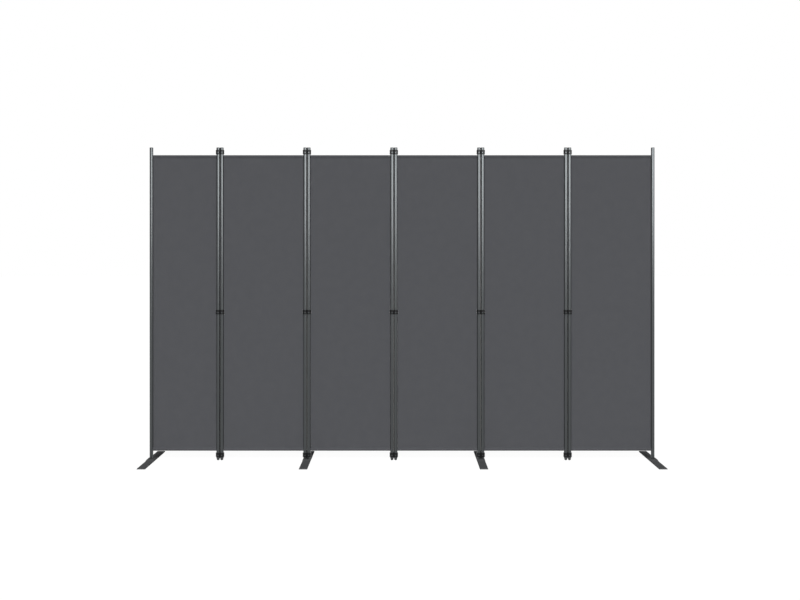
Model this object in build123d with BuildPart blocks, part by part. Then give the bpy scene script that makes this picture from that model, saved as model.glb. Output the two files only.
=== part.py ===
from build123d import *
from math import sqrt
import os

os.makedirs("parts", exist_ok=True)

# Six fabric panels on pairs of upright steel poles. Each pair is joined by three double
# sleeves, and every pole turns in its sleeves. All sizes are in millimetres.
# X runs along the screen, -Y is its front, and the feet stand on Z = 0.

# Overall sizes
overall_height = 1803.0
panel_count = 6
panel_width = 480.0  # between a panel's two pole axes
first_panel_width = 385.0  # the leftmost panel is narrower

# Poles and their end plugs
pole_diameter = 20.6
pole_wall = 1.0
pole_gap = 0.4  # between the two poles of a pair
plug_clearance = 0.1
plug_depth = 16.0
cap_height = 2.5
cap_rounding = 1.2
plug_flange = 2.0
glide_diameter = 16.0
glide_rounding = 6.0
glide_floor_gap = 1.0

# Double sleeves, which join the poles of a pair
sleeve_wall = 3.37
sleeve_height = 25.0
sleeve_bevel = 1.2
running_clearance = 0.08
lower_collar_height = 7.5
waist_height = 6.5
waist_depth = 0.4
window_width = 13.0
bridge_opening = 5.0  # where the two bores run into each other
sleeve_top_drop = 14.0  # from the pole tips down to the top sleeves
middle_sleeve_height = 855.0  # centre of the middle sleeves
sleeve_foot_gap = 7.5  # from the pole's lower end up to the bottom sleeves

# Fabric, rails and rail screws
cloth_thickness = 1.2
fabric_top_gap = 4.5  # below the top sleeves
fabric_bottom_gap = 9.8  # above the bottom sleeves
cloth_clearance = 0.3  # between the cloth and the poles and rails
notch_clearance = 0.3  # where the cloth is cut away round a middle sleeve
rail_diameter = 10.0
rail_wall = 0.8
rail_insert = 14.0
seat_clearance = 0.05
screw_diameter = 5.0
screw_length = 14.0
screw_head_diameter = 8.4
screw_head_height = 2.6
key_hole_diameter = 10.0

# Feet and foot bolts
foot_length = 425.0
foot_width = 46.0
foot_height = 6.0
foot_sheet = 1.8
foot_rounding = 4.0
seat_length = 56.0
seat_slope = 17.0
seat_rise = 4.5
turning_gap = 0.2  # between a foot and the poles that turn on it
bolt_diameter = 6.0
bolt_hole_clearance = 0.3
bolt_length = 14.0
bolt_head_diameter = 11.0
bolt_head_height = 3.6

# Places that follow from the sizes above
pole_radius = pole_diameter / 2
pole_bore = pole_radius - pole_wall
pole_pitch = pole_diameter + pole_gap
foot_top = foot_height + seat_rise
pole_low = foot_top + turning_gap + plug_flange
pole_high = overall_height - cap_height

sleeve_bore = pole_radius + running_clearance
sleeve_radius = sleeve_bore + sleeve_wall
waist_radius = sleeve_radius - waist_depth
bottom_sleeve = pole_low + sleeve_foot_gap
top_sleeve = overall_height - sleeve_top_drop - sleeve_height
middle_sleeve = middle_sleeve_height - sleeve_height / 2

fabric_low = bottom_sleeve + sleeve_height + fabric_bottom_gap
fabric_high = top_sleeve - fabric_top_gap
hem_inner = rail_diameter / 2 + cloth_clearance
hem_outer = hem_inner + cloth_thickness
rail_low = fabric_low + hem_outer
rail_high = fabric_high - hem_outer
notch_radius = sleeve_radius + notch_clearance

screw_seat = sqrt(pole_bore**2 - (screw_head_diameter / 2) ** 2) - seat_clearance
bolt_bore = bolt_diameter / 2 + running_clearance
bolt_seat = foot_top - foot_sheet

# Every pole's place along the screen, from the left end to the right end
widths = [first_panel_width] + [panel_width] * (panel_count - 1)
span = sum(widths) + pole_pitch * (panel_count - 1)
left_poles = []
right_poles = []
next_pole = -span / 2
for width in widths:
    left_poles.append(next_pole)
    right_poles.append(next_pole + width)
    next_pole += width + pole_pitch
pair_centres = [(right_poles[i] + left_poles[i + 1]) / 2 for i in range(panel_count - 1)]

# Feet stand under both end poles and under every second pair
end_poles = [left_poles[0], right_poles[-1]]
foot_stands = {
    "left_end": [left_poles[0]],
    "left_middle": [right_poles[1], left_poles[2]],
    "right_middle": [right_poles[3], left_poles[4]],
    "right_end": [right_poles[-1]],
}
standing_poles = [x for stand in foot_stands.values() for x in stand]


def save(piece, name):
    piece.part.label = name
    export_step(piece.part, f"parts/{name}.step")


# A pole is a steel tube. At each rail, a small hole faces the rail and a larger one
# opposite lets the screw and its key in.
def pole(x, rail_side):
    with BuildPart() as tube:
        with BuildSketch(Plane.XY.offset(pole_low)):
            with Locations((x, 0)):
                Circle(pole_radius)
                Circle(pole_bore, mode=Mode.SUBTRACT)
        extrude(amount=pole_high - pole_low)
        for z in (rail_low, rail_high):
            with BuildSketch(Plane.YZ.offset(x)):
                with Locations((0, z)):
                    Circle(screw_diameter / 2 + bolt_hole_clearance)
            extrude(amount=rail_side * pole_diameter, mode=Mode.SUBTRACT)
            with BuildSketch(Plane.YZ.offset(x)):
                with Locations((0, z)):
                    Circle(key_hole_diameter / 2)
            extrude(amount=-rail_side * pole_diameter, mode=Mode.SUBTRACT)
    return tube


# The plugs in a panel's pole ends: a low cap at the top and, below, either a flanged
# bush on a foot or a rounded glide just above the floor.
def end_plugs(poles):
    with BuildPart() as plugs:
        for x in poles:
            with BuildSketch(Plane.XY.offset(pole_high - plug_depth)):
                with Locations((x, 0)):
                    Circle(pole_bore - plug_clearance)
            extrude(amount=plug_depth)
            with BuildSketch(Plane.XY.offset(pole_high)):
                with Locations((x, 0)):
                    Circle(pole_radius)
            extrude(amount=cap_height)
            with BuildSketch(Plane.XY.offset(pole_low)):
                with Locations((x, 0)):
                    Circle(pole_bore - plug_clearance)
            extrude(amount=plug_depth)
        fillet(plugs.edges().filter_by(GeomType.CIRCLE).group_by(Axis.Z)[-1], cap_rounding)
        for x in poles:
            if x in standing_poles:
                seat = foot_top if x in end_poles else foot_top + turning_gap
                with BuildSketch(Plane.XY.offset(seat)):
                    with Locations((x, 0)):
                        Circle(pole_radius)
                extrude(amount=pole_low - seat)
                with BuildSketch(Plane.XY.offset(seat)):
                    with Locations((x, 0)):
                        Circle(bolt_bore)
                extrude(amount=bolt_length, mode=Mode.SUBTRACT)
            else:
                with BuildSketch(Plane.XY.offset(pole_low)):
                    with Locations((x, 0)):
                        Circle(glide_diameter / 2)
                extrude(amount=glide_floor_gap - pole_low)
                tip = plugs.edges().filter_by(GeomType.CIRCLE).sort_by_distance((x, 0, 0))[0]
                fillet(tip, glide_rounding)
    return plugs


# The two rails are tubes with threaded inserts, saddle-cut to fit against the poles.
def rails(x0, x1):
    with BuildPart() as bars:
        with BuildSketch(Plane.YZ.offset(x0)):
            with Locations((0, rail_low), (0, rail_high)):
                Circle(rail_diameter / 2)
        extrude(amount=x1 - x0)
        with BuildSketch(Plane.YZ.offset(x0 + pole_radius + rail_insert)):
            with Locations((0, rail_low), (0, rail_high)):
                Circle(rail_diameter / 2 - rail_wall)
        extrude(amount=x1 - x0 - 2 * (pole_radius + rail_insert), mode=Mode.SUBTRACT)
        with BuildSketch(Plane.YZ.offset(x0)):
            with Locations((0, rail_low), (0, rail_high)):
                Circle(screw_diameter / 2 + seat_clearance)
        extrude(amount=x1 - x0, mode=Mode.SUBTRACT)
        with BuildSketch(Plane.XY.offset(rail_low - rail_diameter)):
            with Locations((x0, 0), (x1, 0)):
                Circle(pole_radius + seat_clearance)
        extrude(amount=rail_high - rail_low + 2 * rail_diameter, mode=Mode.SUBTRACT)
    return bars


# One screw at each rail end, its head inside the pole and its shank in the rail's insert
def rail_screws(x0, x1):
    with BuildPart() as screws:
        for x, side in ((x0, 1), (x1, -1)):
            with BuildSketch(Plane.YZ.offset(x + side * (screw_seat - screw_head_height))):
                with Locations((0, rail_low), (0, rail_high)):
                    Circle(screw_head_diameter / 2)
            extrude(amount=side * screw_head_height)
            with BuildSketch(Plane.YZ.offset(x + side * screw_seat)):
                with Locations((0, rail_low), (0, rail_high)):
                    Circle(screw_diameter / 2)
            extrude(amount=side * screw_length)
    return screws


# The fabric is one sheet with a tunnel hem round each rail. It is cut away at the middle
# sleeves, so that they can turn.
def fabric(x0, x1, sleeved_poles):
    edge = x0 + pole_radius + cloth_clearance
    width = x1 - pole_radius - cloth_clearance - edge
    with BuildPart() as cloth:
        with BuildSketch(Plane.YZ.offset(edge)):
            with Locations((0, (rail_low + rail_high) / 2)):
                Rectangle(cloth_thickness, rail_high - rail_low)
            with Locations((0, rail_low), (0, rail_high)):
                Circle(hem_outer)
            with Locations((0, rail_low), (0, rail_high)):
                Circle(hem_inner, mode=Mode.SUBTRACT)
        extrude(amount=width)
        if sleeved_poles:
            with BuildSketch(Plane.XY.offset(middle_sleeve - notch_clearance)):
                with Locations(*[(x, 0) for x in sleeved_poles]):
                    Circle(notch_radius)
            extrude(amount=sleeve_height + 2 * notch_clearance, mode=Mode.SUBTRACT)
    return cloth


# A double sleeve has two bevelled collars with a slimmer waist between them. The waist has
# a window in front of and behind each pole, through which the steel shows. The poles all
# but touch, so the two bores are open to each other.
def double_sleeve(centre, base):
    waist_low = base + lower_collar_height
    waist_high = waist_low + waist_height
    top = base + sleeve_height
    poles = [(centre - pole_pitch / 2, 0), (centre + pole_pitch / 2, 0)]
    with BuildPart() as sleeve:
        for x, y in poles:
            with BuildSketch(Plane.XZ):
                with BuildLine():
                    Polyline(
                        (x, base),
                        (x + sleeve_radius - sleeve_bevel, base),
                        (x + sleeve_radius, base + sleeve_bevel),
                        (x + sleeve_radius, waist_low),
                        (x + waist_radius, waist_low),
                        (x + waist_radius, waist_high),
                        (x + sleeve_radius, waist_high),
                        (x + sleeve_radius, top - sleeve_bevel),
                        (x + sleeve_radius - sleeve_bevel, top),
                        (x, top),
                        close=True,
                    )
                make_face()
            revolve(axis=Axis((x, y, 0), (0, 0, 1)))
        with BuildSketch(Plane.XY.offset(base)):
            with Locations(*poles):
                Circle(sleeve_bore)
            with Locations((centre, 0)):
                Rectangle(pole_pitch, bridge_opening)
        extrude(amount=sleeve_height, mode=Mode.SUBTRACT)
        with BuildSketch(Plane.XY.offset(waist_low)):
            with Locations(*poles):
                Rectangle(window_width, 2 * sleeve_radius)
        extrude(amount=waist_height, mode=Mode.SUBTRACT)
    return sleeve


# A foot is a pressed steel tray, open below, that rises to a seat in the middle.
def tray(x, inset):
    half = foot_length / 2 - inset
    seat = seat_length / 2 - inset / 2
    slope = seat + seat_slope
    with BuildPart() as solid:
        with BuildSketch(Plane.YZ.offset(x - foot_width / 2 + inset)):
            with BuildLine():
                Polyline(
                    (-half, 0),
                    (half, 0),
                    (half, foot_height - inset),
                    (slope, foot_height - inset),
                    (seat, foot_top - inset),
                    (-seat, foot_top - inset),
                    (-slope, foot_height - inset),
                    (-half, foot_height - inset),
                    close=True,
                )
            make_face()
        extrude(amount=foot_width - 2 * inset)
        top_faces = solid.faces().filter_by(lambda face: face.normal_at().Z > 0.5)
        rim = [e for e in top_faces.edges() if abs(e.tangent_at(0.5).X) < 0.5]
        ends = solid.edges().filter_by(Axis.X).filter_by_position(
            Axis.Y, -half, half, inclusive=(True, True)
        )
        tips = [e for e in ends if abs(abs(e.center().Y) - half) < 0.1 and e.center().Z > 0.1]
        fillet(rim + tips, foot_rounding - inset)
    return solid.part


def foot(x, poles):
    outside = tray(x, 0)
    inside = tray(x, foot_sheet)
    with BuildPart() as pressing:
        add(outside)
        add(inside, mode=Mode.SUBTRACT)
        with BuildSketch(Plane.XY.offset(foot_height)):
            with Locations(*[(pole_x, 0) for pole_x in poles]):
                Circle(bolt_diameter / 2 + bolt_hole_clearance)
        extrude(amount=seat_rise, mode=Mode.SUBTRACT)
    return pressing


# Foot bolts come up from inside the tray into the bushes in the poles.
def foot_bolts(poles):
    with BuildPart() as bolts:
        with BuildSketch(Plane.XY.offset(bolt_seat - bolt_head_height)):
            with Locations(*[(x, 0) for x in poles]):
                RegularPolygon(bolt_head_diameter / 2, 6)
        extrude(amount=bolt_head_height)
        with BuildSketch(Plane.XY.offset(bolt_seat)):
            with Locations(*[(x, 0) for x in poles]):
                Circle(bolt_diameter / 2)
        extrude(amount=bolt_length)
    return bolts


for index in range(panel_count):
    left = left_poles[index]
    right = right_poles[index]
    name = f"panel_{index + 1}"
    sleeved = [x for x in (left, right) if x not in end_poles]
    save(pole(left, 1), f"{name}_left_pole")
    save(pole(right, -1), f"{name}_right_pole")
    save(end_plugs((left, right)), f"{name}_end_plugs")
    save(rails(left, right), f"{name}_rails")
    save(rail_screws(left, right), f"{name}_rail_screws")
    save(fabric(left, right, sleeved), f"{name}_fabric")

for index, centre in enumerate(pair_centres):
    name = f"hinge_{index + 1}"
    save(double_sleeve(centre, top_sleeve), f"{name}_top_sleeve")
    save(double_sleeve(centre, middle_sleeve), f"{name}_middle_sleeve")
    save(double_sleeve(centre, bottom_sleeve), f"{name}_bottom_sleeve")

for name, poles in foot_stands.items():
    save(foot(sum(poles) / len(poles), poles), f"{name}_foot")
    save(foot_bolts(poles), f"{name}_foot_bolts")

print("panels", panel_count, "span", round(span, 1))
print("poles from", round(pole_low, 1), "to", round(pole_high, 1))
print("fabric from", round(fabric_low, 1), "to", round(fabric_high, 1))
print("pair centres", [round(x, 1) for x in pair_centres])
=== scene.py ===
import math
import bmesh
import bpy
from mathutils import Matrix, Vector


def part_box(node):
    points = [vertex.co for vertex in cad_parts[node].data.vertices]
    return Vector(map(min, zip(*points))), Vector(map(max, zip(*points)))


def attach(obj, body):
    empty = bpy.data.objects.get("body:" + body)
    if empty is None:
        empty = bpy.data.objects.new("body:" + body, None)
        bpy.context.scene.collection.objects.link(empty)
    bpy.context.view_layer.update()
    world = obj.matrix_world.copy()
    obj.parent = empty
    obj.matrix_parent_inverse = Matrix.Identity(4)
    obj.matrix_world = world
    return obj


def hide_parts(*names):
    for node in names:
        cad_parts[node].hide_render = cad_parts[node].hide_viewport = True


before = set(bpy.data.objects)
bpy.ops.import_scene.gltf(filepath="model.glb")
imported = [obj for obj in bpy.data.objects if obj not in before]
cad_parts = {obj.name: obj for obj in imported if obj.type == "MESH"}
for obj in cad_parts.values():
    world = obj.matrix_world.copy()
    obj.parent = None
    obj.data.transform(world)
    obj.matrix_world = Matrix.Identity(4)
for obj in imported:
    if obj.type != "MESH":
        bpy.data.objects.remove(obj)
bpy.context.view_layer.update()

print("frame loaded:", len(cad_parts), "nodes")


# camera, level and at chest height as in the photograph
shot = {
    "lens": 40.45,  # mm, on a 36 mm wide sensor
    "place": (-0.0119, -5.183, 1.2397),
    "shiftY": -0.0684,
}
cameraData = bpy.data.cameras.new("camera")
cameraData.lens = shot["lens"]
cameraData.sensor_width = 36
cameraData.shift_y = shot["shiftY"]
cameraData.clip_end = 100
camera = bpy.data.objects.new("camera", cameraData)
camera.location = shot["place"]
camera.rotation_euler = (math.radians(90), 0, 0)
bpy.context.scene.collection.objects.link(camera)
bpy.context.scene.camera = camera
bpy.context.scene.view_settings.view_transform = "Standard"


def linear(code):
    channels = [int(code[i:i + 2], 16) / 255 for i in (1, 3, 5)]
    return [c / 12.92 if c <= 0.04045 else ((c + 0.055) / 1.055) ** 2.4 for c in channels] + [1]


def addNode(tree, kind, settings=None, links=None):
    node = tree.nodes.new(kind)
    for name, value in (settings or {}).items():
        if isinstance(name, int) or name in node.inputs:
            node.inputs[name].default_value = value
        else:
            setattr(node, name, value)
    for name, source in (links or {}).items():
        tree.links.new(source, node.inputs[name])
    return node


def newMaterial(name):
    material = bpy.data.materials.new(name)
    material.use_nodes = True
    tree = material.node_tree
    tree.nodes.clear()
    shader = addNode(tree, "ShaderNodeBsdfPrincipled")
    addNode(tree, "ShaderNodeOutputMaterial", None, {"Surface": shader.outputs["BSDF"]})
    place = addNode(tree, "ShaderNodeTexCoord").outputs["Object"]
    return material, tree, shader, place


def mottle(tree, place, dark, light, size):
    # a slow drift between two close colours; size is the patches' width in metres
    noise = addNode(tree, "ShaderNodeTexNoise", {"Scale": 1 / size, "Detail": 3}, {"Vector": place})
    return addNode(
        tree,
        "ShaderNodeMix",
        {"data_type": "RGBA", 6: linear(dark), 7: linear(light)},
        {0: noise.outputs["Fac"]},
    ).outputs[2]


def bumpFrom(tree, height, distance, strength=1.0):
    return addNode(
        tree, "ShaderNodeBump", {"Distance": distance, "Strength": strength}, {"Height": height}
    ).outputs["Normal"]


def wovenPolyester():
    # 300 denier plain weave: flat and matt, with a faint dry sheen; its threads lie 0.4 mm
    # apart and are drawn coarser to show, and the hollows between them carry painted shade
    weave = {
        "dark": "#525357", "light": "#58595c", "thread": 0.0011, "paintedHollowShade": 0.82,
        "relief": 0.00012, "strength": 0.5,
    }
    material, tree, shader, place = newMaterial("wovenPolyester")
    axes = addNode(tree, "ShaderNodeSeparateXYZ", None, {"Vector": place})
    turns = math.pi / weave["thread"]
    waves = []
    for axis in ("X", "Z"):
        angle = addNode(
            tree, "ShaderNodeMath", {"operation": "MULTIPLY", 1: turns}, {0: axes.outputs[axis]}
        ).outputs[0]
        waves.append(addNode(tree, "ShaderNodeMath", {"operation": "SINE"}, {0: angle}).outputs[0])
    crossing = addNode(
        tree, "ShaderNodeMath", {"operation": "MULTIPLY"}, {0: waves[0], 1: waves[1]}
    ).outputs[0]
    # painted shade: the colour is darkened in the hollows of the weave, where the threads dip
    paintedShade = addNode(
        tree, "ShaderNodeMapRange", {"From Min": -1, "To Min": weave["paintedHollowShade"], "To Max": 1},
        {"Value": crossing},
    ).outputs["Result"]
    colour = mottle(tree, place, weave["dark"], weave["light"], size=0.05)
    wovenShadedColour = addNode(
        tree, "ShaderNodeMix", {"data_type": "RGBA", "blend_type": "MULTIPLY", 0: 1},
        {6: colour, 7: paintedShade},
    ).outputs[2]
    normal = bumpFrom(tree, crossing, weave["relief"], weave["strength"])
    tree.links.new(wovenShadedColour, shader.inputs["Base Color"])
    tree.links.new(normal, shader.inputs["Normal"])
    shader.inputs["Roughness"].default_value = 0.95
    shader.inputs["Specular IOR Level"].default_value = 0.03
    shader.inputs["Sheen Weight"].default_value = 0.1
    return material


def sewingThread():
    # spun polyester thread: matt, a shade darker than the cloth
    material, tree, shader, place = newMaterial("sewingThread")
    colour = mottle(tree, place, "#3d3e41", "#46474a", size=0.004)
    tree.links.new(colour, shader.inputs["Base Color"])
    shader.inputs["Roughness"].default_value = 0.7
    return material


def powderCoat(name, coat):
    # baked polyester powder: an even satin skin with a fine orange peel
    material, tree, shader, place = newMaterial(name)
    colour = mottle(tree, place, coat["dark"], coat["light"], size=0.06)
    tree.links.new(colour, shader.inputs["Base Color"])
    peel = addNode(
        tree, "ShaderNodeTexNoise", {"Scale": 1 / coat["grain"], "Detail": 2}, {"Vector": place}
    )
    tree.links.new(bumpFrom(tree, peel.outputs["Fac"], coat["depth"]), shader.inputs["Normal"])
    shader.inputs["Metallic"].default_value = coat["metallic"]
    shader.inputs["Roughness"].default_value = coat["roughness"]
    shader.inputs["Specular IOR Level"].default_value = coat["specular"]
    return material


def mouldedPlastic(name, mould):
    # injection moulded: the mould's finish, with slight gloss changes
    material, tree, shader, place = newMaterial(name)
    colour = mottle(tree, place, mould["dark"], mould["light"], size=0.01)
    tree.links.new(colour, shader.inputs["Base Color"])
    grains = addNode(
        tree, "ShaderNodeTexNoise", {"Scale": 1 / mould["grain"], "Detail": 2}, {"Vector": place}
    )
    tree.links.new(bumpFrom(tree, grains.outputs["Fac"], mould["depth"]), shader.inputs["Normal"])
    shift = 0.05
    gloss = addNode(
        tree, "ShaderNodeMapRange",
        {"To Min": mould["roughness"] - shift, "To Max": mould["roughness"] + shift},
        {"Value": grains.outputs["Fac"]},
    )
    tree.links.new(gloss.outputs["Result"], shader.inputs["Roughness"])
    shader.inputs["IOR"].default_value = 1.53
    shader.inputs["Specular IOR Level"].default_value = mould["specular"]
    return material


def zincPlate():
    # bright zinc over steel: pale grey metal with a soft spangle
    material, tree, shader, place = newMaterial("zincPlate")
    colour = mottle(tree, place, "#a9acae", "#c3c5c6", size=0.003)
    tree.links.new(colour, shader.inputs["Base Color"])
    shader.inputs["Metallic"].default_value = 1
    shader.inputs["Roughness"].default_value = 0.32
    return material


clothMaterial = wovenPolyester()
threadMaterial = sewingThread()
poleMaterial = powderCoat("gunmetalLacquer", {
    "dark": "#484b4c", "light": "#4c4e4f", "metallic": 1, "roughness": 0.3,
    "specular": 0.5, "grain": 0.0012, "depth": 0.00001,
})
railMaterial = powderCoat("railPowderCoat", {
    "dark": "#3c3d3f", "light": "#434446", "metallic": 0.2, "roughness": 0.45,
    "specular": 0.5, "grain": 0.0012, "depth": 0.00002,
})
footMaterial = powderCoat("greyTexturedPowderCoat", {  # its coarser texture leaves no gloss
    "dark": "#515253", "light": "#58595a", "metallic": 0, "roughness": 0.9,
    "specular": 0, "grain": 0.0007, "depth": 0.00012,
})
sleeveMaterial = mouldedPlastic("glossyMouldedAbs", {
    "dark": "#161718", "light": "#1c1d1e", "roughness": 0.22,
    "specular": 0.12, "grain": 0.0009, "depth": 0.00001,
})
plugMaterial = mouldedPlastic("mouldedNylon", {
    "dark": "#232425", "light": "#2a2b2c", "roughness": 0.45,
    "specular": 0.5, "grain": 0.0008, "depth": 0.00003,
})
zincMaterial = zincPlate()

finishes = {
    "_pole": poleMaterial,
    "_rails": railMaterial,
    "_foot": footMaterial,
    "_sleeve": sleeveMaterial,
    "_plugs": plugMaterial,
    "_screws": zincMaterial,
    "_bolts": zincMaterial,
    "_fabric": clothMaterial,
}
for name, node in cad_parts.items():
    for ending, material in finishes.items():
        if name.endswith(ending):
            node.data.materials.clear()
            node.data.materials.append(material)
print("materials made")


# cloth panels: one sheet each, folded round both rails and sewn beside them
cloth = {
    "thickness": 0.0006,
    "poleGap": 0.00005,
    "notchGap": 0.00015,  # round a middle sleeve
    "topGap": 0.0002,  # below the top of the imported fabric
    "seamDrop": 0.0125,  # from a rail's axis to the seam of its tunnel
    "flap": 0.006,  # what is left of the fold past the seam
    "sideHem": 0.012,
    "hemGap": 0.0002,  # between a side hem and the ends of the flaps
    "layerGap": 0.0007,  # between the middles of two layers
    "arcSteps": 14,
    "stitchLength": 0.0026,
    "stitchPitch": 0.0034,
    "stitchWidth": 0.0005,
    "stitchProud": 0.0003,
    "stitchInset": 0.002,  # from the seam or a hem's edge, and at the ends of a row
}
mergeDistance = 1e-6


def railHeights(number):
    low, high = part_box(f"panel_{number}_rails")
    radius = (high.y - low.y) / 2
    return low.z + radius, high.z - radius


def split(bm, place, normal):
    bmesh.ops.bisect_plane(
        bm, geom=bm.verts[:] + bm.edges[:] + bm.faces[:], dist=mergeDistance,
        plane_co=place, plane_no=normal,
    )


def foldedSheet(bm, x0, x1, railLow, railHigh, radius):
    # the profile in the YZ plane: up the sheet, round the top rail and back down past the
    # seam, and the same round the bottom rail
    drop, flap, back = cloth["seamDrop"], cloth["flap"], cloth["layerGap"]
    lean = math.asin(radius / drop)
    seamLow = bm.verts.new((x0, 0, railLow + drop))
    seamHigh = bm.verts.new((x0, 0, railHigh - drop))
    bm.edges.new((seamLow, seamHigh))
    for seam, rail, up in ((seamHigh, railHigh, 1), (seamLow, railLow, -1)):
        touch = bm.verts.new((x0, -radius * math.cos(lean), rail - up * radius * math.sin(lean)))
        bm.edges.new((seam, touch))
        arc = bmesh.ops.spin(
            bm, geom=[touch], cent=(x0, 0, rail), axis=(1, 0, 0),
            angle=-up * (math.pi + 2 * lean), steps=cloth["arcSteps"], use_duplicate=False,
        )
        last = next(g for g in arc["geom_last"] if isinstance(g, bmesh.types.BMVert))
        behind = bm.verts.new((x0, back, rail - up * drop))
        end = bm.verts.new((x0, back, rail - up * (drop + flap)))
        bm.edges.new((last, behind))
        bm.edges.new((behind, end))
    wide = bmesh.ops.extrude_edge_only(bm, edges=bm.edges[:])
    moved = [g for g in wide["geom"] if isinstance(g, bmesh.types.BMVert)]
    bmesh.ops.translate(bm, verts=moved, vec=(x1 - x0, 0, 0))
    # the side hems lie behind the sheet, between the two flaps
    low = railLow + drop + flap + cloth["hemGap"]
    high = railHigh - drop - flap - cloth["hemGap"]
    for edge, inner in ((x0, x0 + cloth["sideHem"]), (x1, x1 - cloth["sideHem"])):
        corners = ((edge, low), (inner, low), (inner, high), (edge, high))
        bm.faces.new([bm.verts.new((x, back, z)) for x, z in corners])


def cutNotches(bm, notches):
    # open the sheet beside the middle sleeves
    for x, _, low, high in notches:
        split(bm, (x, 0, 0), (1, 0, 0))
        split(bm, (0, 0, low), (0, 0, 1))
        split(bm, (0, 0, high), (0, 0, 1))
    gone = []
    for face in bm.faces:
        middle = face.calc_center_median()
        for x, side, low, high in notches:
            if (middle.x - x) * side < 0 and low < middle.z < high:
                gone.append(face)
    bmesh.ops.delete(bm, geom=gone, context="FACES")


def stitchRow(bm, start, direction, length):
    # one stitch, copied in doubling runs until the row is full
    pitch = cloth["stitchPitch"]
    count = int(length / pitch)
    along, depth = Vector(direction), Vector((0, 1, 0))
    centre = Vector(start) + along * pitch / 2 + depth * cloth["layerGap"] / 2
    halves = Matrix((
        along * cloth["stitchLength"] / 2,
        depth * (cloth["thickness"] + cloth["stitchProud"]),
        along.cross(depth) * cloth["stitchWidth"] / 2,
    )).transposed()
    first = bmesh.ops.create_icosphere(bm, subdivisions=1, radius=1)["verts"]
    bmesh.ops.transform(
        bm, matrix=Matrix.Translation(centre) @ halves.to_4x4(), verts=first
    )
    row = list({face for vert in first for face in vert.link_faces})
    facesEach = len(row)
    done = 1
    while done < count:
        more = min(done, count - done)
        copy = bmesh.ops.duplicate(bm, geom=row[:more * facesEach])["geom"]
        faces = [g for g in copy if isinstance(g, bmesh.types.BMFace)]
        verts = list({vert for face in faces for vert in face.verts})
        bmesh.ops.translate(bm, verts=verts, vec=along * pitch * done)
        row += faces
        done += more


def finishMesh(name, bm, material, smooth=True):
    mesh = bpy.data.meshes.new(name)
    bm.to_mesh(mesh)
    bm.free()
    mesh.materials.append(material)
    for polygon in mesh.polygons:
        polygon.use_smooth = smooth
    piece = bpy.data.objects.new(name, mesh)
    bpy.context.scene.collection.objects.link(piece)
    return piece


for number in range(1, 7):
    railLow, railHigh = railHeights(number)
    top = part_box(f"panel_{number}_fabric")[1].z
    radius = top - railHigh - cloth["thickness"] / 2 - cloth["topGap"]
    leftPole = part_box(f"panel_{number}_left_pole")[1].x + cloth["poleGap"]
    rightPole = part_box(f"panel_{number}_right_pole")[0].x - cloth["poleGap"]
    width = rightPole - leftPole
    bm = bmesh.new()
    foldedSheet(bm, leftPole, rightPole, railLow, railHigh, radius)
    notches = []
    for side, hinge in ((1, number - 1), (-1, number)):
        if 1 <= hinge <= 5:
            low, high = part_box(f"hinge_{hinge}_middle_sleeve")
            gap = cloth["notchGap"]
            edge = high.x + gap if side > 0 else low.x - gap
            notches.append((edge, side, low.z - gap, high.z + gap))
    cutNotches(bm, notches)
    bmesh.ops.recalc_face_normals(bm, faces=bm.faces[:])
    sheet = finishMesh(f"panel_{number}_cloth", bm, clothMaterial, smooth=False)
    for polygon in sheet.data.polygons:  # only the tunnels round the rails are shaded round
        rail = min((railLow, railHigh), key=lambda z: abs(polygon.center.z - z))
        reach = math.hypot(polygon.center.y, polygon.center.z - rail)
        polygon.use_smooth = reach < radius * 1.01
    thicken = sheet.modifiers.new("thickness", "SOLIDIFY")
    thicken.thickness = cloth["thickness"]
    thicken.offset = 0
    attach(sheet, f"panel_{number}")
    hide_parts(f"panel_{number}_fabric")

    bm = bmesh.new()
    inset = cloth["stitchInset"]
    rowLow = railLow + cloth["seamDrop"] + inset
    rowHigh = railHigh - cloth["seamDrop"] - inset
    for z in (rowLow, rowHigh):
        stitchRow(bm, (leftPole + inset, 0, z), (1, 0, 0), width - 2 * inset)
    for x in (leftPole + cloth["sideHem"] - inset, rightPole - cloth["sideHem"] + inset):
        stitchRow(bm, (x, 0, rowLow + inset), (0, 0, 1), rowHigh - rowLow - 2 * inset)
    thread = finishMesh(f"panel_{number}_stitching", bm, threadMaterial)
    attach(thread, f"panel_{number}")


# poles: round tube, pierced beside each rail for its screw and opposite it for the key
tube = {
    "wall": 0.001,
    "steps": 64,
    "screwHole": 0.0056,
    "keyHole": 0.01,
    "holeSteps": 32,
    "ringGap": 0.008,  # keeps the holes' facets off the rest of the pole
    "drill": 0.02,
}
# nylon plugs: a rounded cap on top, below it a glide or a bush that stands on a foot, and a
# flush stopper in each key hole
plug = {
    "depth": 0.016,
    "shaftGap": 0.0001,
    "flange": 0.002,
    "turningGap": 0.0002,  # between a bush and a middle foot
    "capRounding": 0.0012,
    "capSteps": 4,
    "glideRadius": 0.008,
    "glideRounding": 0.006,
    "glideSteps": 8,
    "floorGap": 0.001,
    "boltBore": 0.00308,
    "boltDepth": 0.014,
    "steps": 48,
}


def turned(bm, x, corners, steps):
    # spin an outline of radius and height round a pole's axis; one that leaves the axis is closed
    verts = [bm.verts.new((x + radius, 0, z)) for radius, z in corners]
    edges = [bm.edges.new(pair) for pair in zip(verts, verts[1:])]
    if corners[0][0] > 0:
        edges.append(bm.edges.new((verts[-1], verts[0])))
    bmesh.ops.spin(
        bm, geom=verts + edges, cent=(x, 0, 0), axis=(0, 0, 1),
        angle=2 * math.pi, steps=steps, use_merge=True,
    )
    bmesh.ops.remove_doubles(bm, verts=bm.verts[:], dist=mergeDistance)
    bmesh.ops.recalc_face_normals(bm, faces=bm.faces[:])


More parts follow.
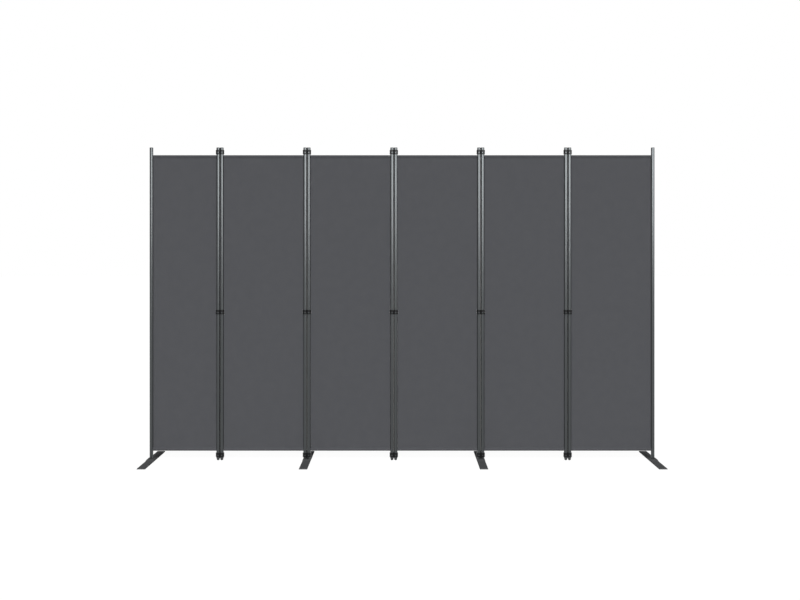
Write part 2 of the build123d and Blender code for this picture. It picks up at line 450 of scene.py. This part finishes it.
def roundRim(bm, x, radius, height, rounding, segments):
    tolerance = 1e-5

    def onRim(vert):
        off = math.hypot(vert.co.x - x, vert.co.y) - radius
        return abs(vert.co.z - height) < tolerance and abs(off) < tolerance

    rim = [edge for edge in bm.edges if all(onRim(vert) for vert in edge.verts)]
    bmesh.ops.bevel(
        bm, geom=rim, offset=rounding, affect="EDGES", segments=segments, profile=0.5, material=-1
    )


def sharpen(piece):
    piece.data.set_sharp_from_angle(angle=math.radians(35))


def cutWith(piece, holes, operation):
    # what is left of a pole between or outside the drilled holes
    bm = bmesh.new()
    for x, side, z, width in holes:
        middle = Matrix.Translation((x + side * tube["drill"] / 2, 0, z))
        bmesh.ops.create_cone(
            bm, cap_ends=True, segments=tube["holeSteps"], radius1=width / 2, radius2=width / 2,
            depth=tube["drill"], matrix=middle @ Matrix.Rotation(math.pi / 2, 4, "Y"),
        )
    drill = finishMesh("drill", bm, poleMaterial)
    cut = piece.modifiers.new("cut", "BOOLEAN")
    cut.operation = operation
    cut.object = drill
    whole = piece.evaluated_get(bpy.context.evaluated_depsgraph_get())
    mesh = bpy.data.meshes.new_from_object(whole)
    merged = bmesh.new()
    merged.from_mesh(mesh)
    bmesh.ops.remove_doubles(merged, verts=merged.verts[:], dist=mergeDistance)
    merged.to_mesh(mesh)
    merged.free()
    piece.modifiers.clear()
    bpy.data.objects.remove(drill)
    return mesh


endPoles = ("panel_1_left_pole", "panel_6_right_pole")
middleStands = (  # the poles over a middle foot
    "panel_2_right_pole", "panel_3_left_pole", "panel_4_right_pole", "panel_5_left_pole",
)
for number in range(1, 7):
    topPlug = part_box(f"panel_{number}_end_plugs")[1].z
    plugMesh = bmesh.new()
    for side, hand in ((1, "left"), (-1, "right")):
        node = f"panel_{number}_{hand}_pole"
        low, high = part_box(node)
        radius = (high.y - low.y) / 2
        x = low.x + radius
        bore = radius - tube["wall"]
        wall = [(bore, low.z), (radius, low.z), (radius, high.z), (bore, high.z)]
        bm = bmesh.new()
        turned(bm, x, wall, tube["steps"])
        holes, stoppers = [], []
        for z in railHeights(number):
            for height in (z - tube["ringGap"], z + tube["ringGap"]):
                split(bm, (0, 0, height), (0, 0, 1))
            holes += [(x, side, z, tube["screwHole"]), (x, -side, z, tube["keyHole"])]
            stoppers.append((x, -side, z, tube["keyHole"] - 2 * plug["shaftGap"]))
        pole = finishMesh(f"panel_{number}_{hand}_tube", bm, poleMaterial)
        plugMesh.from_mesh(cutWith(pole, stoppers, "INTERSECT"))
        pole.data = cutWith(pole, holes, "DIFFERENCE")
        sharpen(pole)
        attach(pole, f"panel_{number}")
        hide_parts(node)

        shaft = bore - plug["shaftGap"]
        turned(plugMesh, x, [
            (0, high.z - plug["depth"]), (shaft, high.z - plug["depth"]), (shaft, high.z),
            (radius, high.z), (radius, topPlug), (0, topPlug),
        ], plug["steps"])
        roundRim(plugMesh, x, radius, topPlug, plug["capRounding"], plug["capSteps"])
        inside = low.z + plug["depth"]
        if node in endPoles + middleStands:
            seat = low.z - plug["flange"] - (plug["turningGap"] if node in endPoles else 0)
            bolt = seat + plug["boltDepth"]
            turned(plugMesh, x, [
                (0, bolt), (plug["boltBore"], bolt), (plug["boltBore"], seat), (radius, seat),
                (radius, low.z), (shaft, low.z), (shaft, inside), (0, inside),
            ], plug["steps"])
        else:
            tip, glide = plug["floorGap"], plug["glideRadius"]
            turned(plugMesh, x, [
                (0, tip), (glide, tip), (glide, low.z),
                (shaft, low.z), (shaft, inside), (0, inside),
            ], plug["steps"])
            roundRim(plugMesh, x, glide, tip, plug["glideRounding"], plug["glideSteps"])
    for face in plugMesh.faces:  # also the stoppers', which come from a pole
        face.material_index = 0
    plugs = finishMesh(f"panel_{number}_caps", plugMesh, plugMaterial)
    sharpen(plugs)
    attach(plugs, f"panel_{number}")
    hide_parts(f"panel_{number}_end_plugs")
print("poles turned")


# floor, world and lights
studio = {
    "target": (0, 0, 0.8),
    "sun": 2.25,
    "sunAngle": 25,
    "sunPlace": (0, -3.7, 4.0),
    "backSun": 0.6,
    "backSunAngle": 40,
    "backSunPlace": (-1.5, 4, 1.7),
    "strip": 250,
    "stripPlace": (2.3, -3, 2.2),
    "stripTarget": (2.3, 0, 2.2),
    "stripWidth": 7.5,
    "stripHeight": 1.65,
    "ambient": 0.3,
    "floor": "#f4f4f4",
    "floorSize": 30,
    "white": 1.07,
    "whiteShare": 0.88,  # the rest of the floor shows the light and the shadows on it
}


def seenDirectly(tree):
    # 1 for what the camera or a glossy or clear surface sees, 0 for what lights the object
    rays = addNode(tree, "ShaderNodeLightPath").outputs
    seen = rays["Is Camera Ray"]
    for ray in ("Is Glossy Ray", "Is Transmission Ray"):
        seen = addNode(
            tree, "ShaderNodeMath", {"operation": "MAXIMUM"}, {0: seen, 1: rays[ray]}
        ).outputs[0]
    return seen


floorMesh = bmesh.new()
bmesh.ops.create_grid(floorMesh, x_segments=1, y_segments=1, size=studio["floorSize"])
floorMaterial, tree, shader, _ = newMaterial("paperFloor")
shader.inputs["Base Color"].default_value = linear(studio["floor"])
shader.inputs["Roughness"].default_value = 0.9
share = addNode(
    tree, "ShaderNodeMath", {"operation": "MULTIPLY", 1: studio["whiteShare"]},
    {0: seenDirectly(tree)},
)
white = addNode(tree, "ShaderNodeEmission", {"Strength": studio["white"]})
mixed = addNode(
    tree, "ShaderNodeMixShader", None,
    {0: share.outputs[0], 1: shader.outputs["BSDF"], 2: white.outputs["Emission"]},
)
output = [n for n in tree.nodes if n.type == "OUTPUT_MATERIAL"][0]
tree.links.new(mixed.outputs["Shader"], output.inputs["Surface"])
floor = finishMesh("floor", floorMesh, floorMaterial, smooth=False)

world = bpy.data.worlds.new("studio")
bpy.context.scene.world = world
world.use_nodes = True
tree = world.node_tree
tree.nodes.clear()
level = addNode(
    tree, "ShaderNodeMapRange", {"To Min": studio["ambient"], "To Max": 1.0},
    {"Value": seenDirectly(tree)},
)
back = addNode(
    tree, "ShaderNodeBackground", {"Color": (1, 1, 1, 1)}, {"Strength": level.outputs["Result"]}
)
addNode(tree, "ShaderNodeOutputWorld", None, {"Surface": back.outputs["Background"]})


def addLamp(name, kind, place, target, settings):
    data = bpy.data.lights.new(name, kind)
    for key, value in settings.items():
        setattr(data, key, value)
    lamp = bpy.data.objects.new(name, data)
    lamp.location = place
    lamp.rotation_euler = (Vector(target) - Vector(place)).to_track_quat("-Z", "Y").to_euler()
    bpy.context.scene.collection.objects.link(lamp)
    return lamp


addLamp("frontSun", "SUN", studio["sunPlace"], studio["target"], {
    "energy": studio["sun"], "angle": math.radians(studio["sunAngle"]),
})
addLamp("backSun", "SUN", studio["backSunPlace"], studio["target"], {
    "energy": studio["backSun"], "angle": math.radians(studio["backSunAngle"]),
})
# a wide strip light, high on the right, draws the bright upper part of the poles
strip = addLamp("highStrip", "AREA", studio["stripPlace"], studio["stripTarget"], {
    "energy": studio["strip"], "shape": "RECTANGLE",
    "size": studio["stripWidth"], "size_y": studio["stripHeight"],
})
strip.visible_diffuse = False
strip.visible_camera = False
print("stage set")
